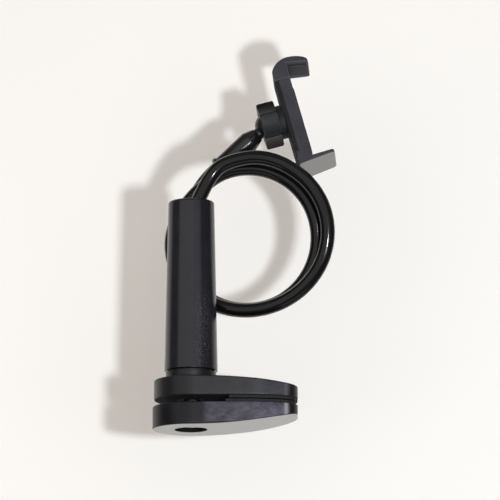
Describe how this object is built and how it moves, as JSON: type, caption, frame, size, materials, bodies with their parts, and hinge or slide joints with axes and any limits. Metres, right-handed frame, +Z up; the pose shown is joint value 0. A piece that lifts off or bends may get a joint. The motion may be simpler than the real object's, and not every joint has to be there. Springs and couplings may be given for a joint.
{
  "type": "bedside phone holder",
  "caption": "Clamp-on phone holder: a screw clamp with a turning handle, a coiled flexible arm and a ball-jointed spring cradle with two lips.",
  "frame": {"origin": "on the handle's axis at the seat plane of the upper jaw's pad", "axes": "+Z up along the handle, +X the way the jaws reach, +Y away from the picture's camera"},
  "size_m": [0.1178, 0.0688, 0.2481],
  "materials": {
    "jaw_plastic": "satin black",
    "jaw_pad_rubber": "matte black",
    "bushing_steel": "machined",
    "washer_nylon": "smooth nylon",
    "spindle_steel": "blackened, oiled",
    "fastener_steel": "zinc plated",
    "handle_shell": "satin black, fine grain",
    "plug_plastic": "plain",
    "arm_sheath": "glossy soft sheath over a steel coil",
    "joint_plastic": "satin black",
    "cradle_plastic": "fine matte grain",
    "lip_pad_rubber": "matte black",
    "pin_steel": "bright drawn wire"
  },
  "bodies": {
    "upper_clamp": {"upper_jaw": "jaw_plastic", "upper_jaw_pad": "jaw_pad_rubber", "keyed_bushing": "bushing_steel", "thrust_washer": "washer_nylon"},
    "handle": {"handle_tube": "handle_shell", "handle_nut": "spindle_steel", "arm_retaining_ring": "fastener_steel"},
    "lower_clamp": {"lower_jaw": "jaw_plastic", "lower_jaw_pad": "jaw_pad_rubber", "clamp_spindle": "spindle_steel", "spindle_bolt": "fastener_steel", "spindle_washer": "fastener_steel"},
    "arm": {"arm_plug": "plug_plastic", "gooseneck": "arm_sheath", "ball_sleeve": "joint_plastic", "sleeve_ring": "joint_plastic"},
    "ball": {"ball_stud": "joint_plastic"},
    "nut": {"lock_nut": "joint_plastic"},
    "cradle": {"cradle_back": "cradle_plastic", "cradle_front": "cradle_plastic", "rest_pad": "lip_pad_rubber", "lower_lip_pad": "lip_pad_rubber", "cover_screw_upper": "fastener_steel", "cover_screw_lower": "fastener_steel", "return_spring_near": "pin_steel", "return_spring_far": "pin_steel"},
    "cradle_jaw": {"cradle_slider": "cradle_plastic", "upper_lip_pad": "lip_pad_rubber", "guide_pin_near": "pin_steel", "guide_pin_far": "pin_steel"}
  },
  "joints": [
    {"name": "handle_turn", "type": "hinge", "parent": "upper_clamp", "child": "handle", "pos_m": [0, 0, 0.0209], "axis": [0, 0, 1], "range_deg": [-60, 6840]},
    {"name": "jaw_slide", "type": "slide", "parent": "upper_clamp", "child": "lower_clamp", "axis": [0, 0, -1], "range_m": [-0.00055, 0.0571]},
    {"name": "arm_swivel", "type": "hinge", "parent": "upper_clamp", "child": "arm", "pos_m": [0, 0, 0.0989], "axis": [0, 0, 1], "continuous": true},
    {"name": "ball_roll", "type": "hinge", "parent": "arm", "child": "ball", "pos_m": [0.0493, 0.022, 0.18529], "axis": [0.752, 0.04, 0.658], "range_deg": [0, 300]},
    {"name": "ball_tilt", "type": "hinge", "parent": "ball", "child": "nut", "pos_m": [0.0493, 0.022, 0.18529], "axis": [-0.0234, -0.9959, 0.0873], "range_deg": [-3, 56]},
    {"name": "cradle_spin", "type": "hinge", "parent": "nut", "child": "cradle", "pos_m": [0.0493, 0.022, 0.18529], "axis": [0.9659, 0, 0.2588], "continuous": true},
    {"name": "cradle_open", "type": "slide", "parent": "cradle", "child": "cradle_jaw", "axis": [-0.2506, 0.2504, 0.9352], "range_m": [0, 0.028], "stiffness_N_per_m": 150, "springref_m": -0.03, "deforming": ["return_spring_near", "return_spring_far"]}
  ],
  "couplings": [
    {"joint": "jaw_slide", "follows": "handle_turn", "m_per_rad": 0.00047746}
  ]
}
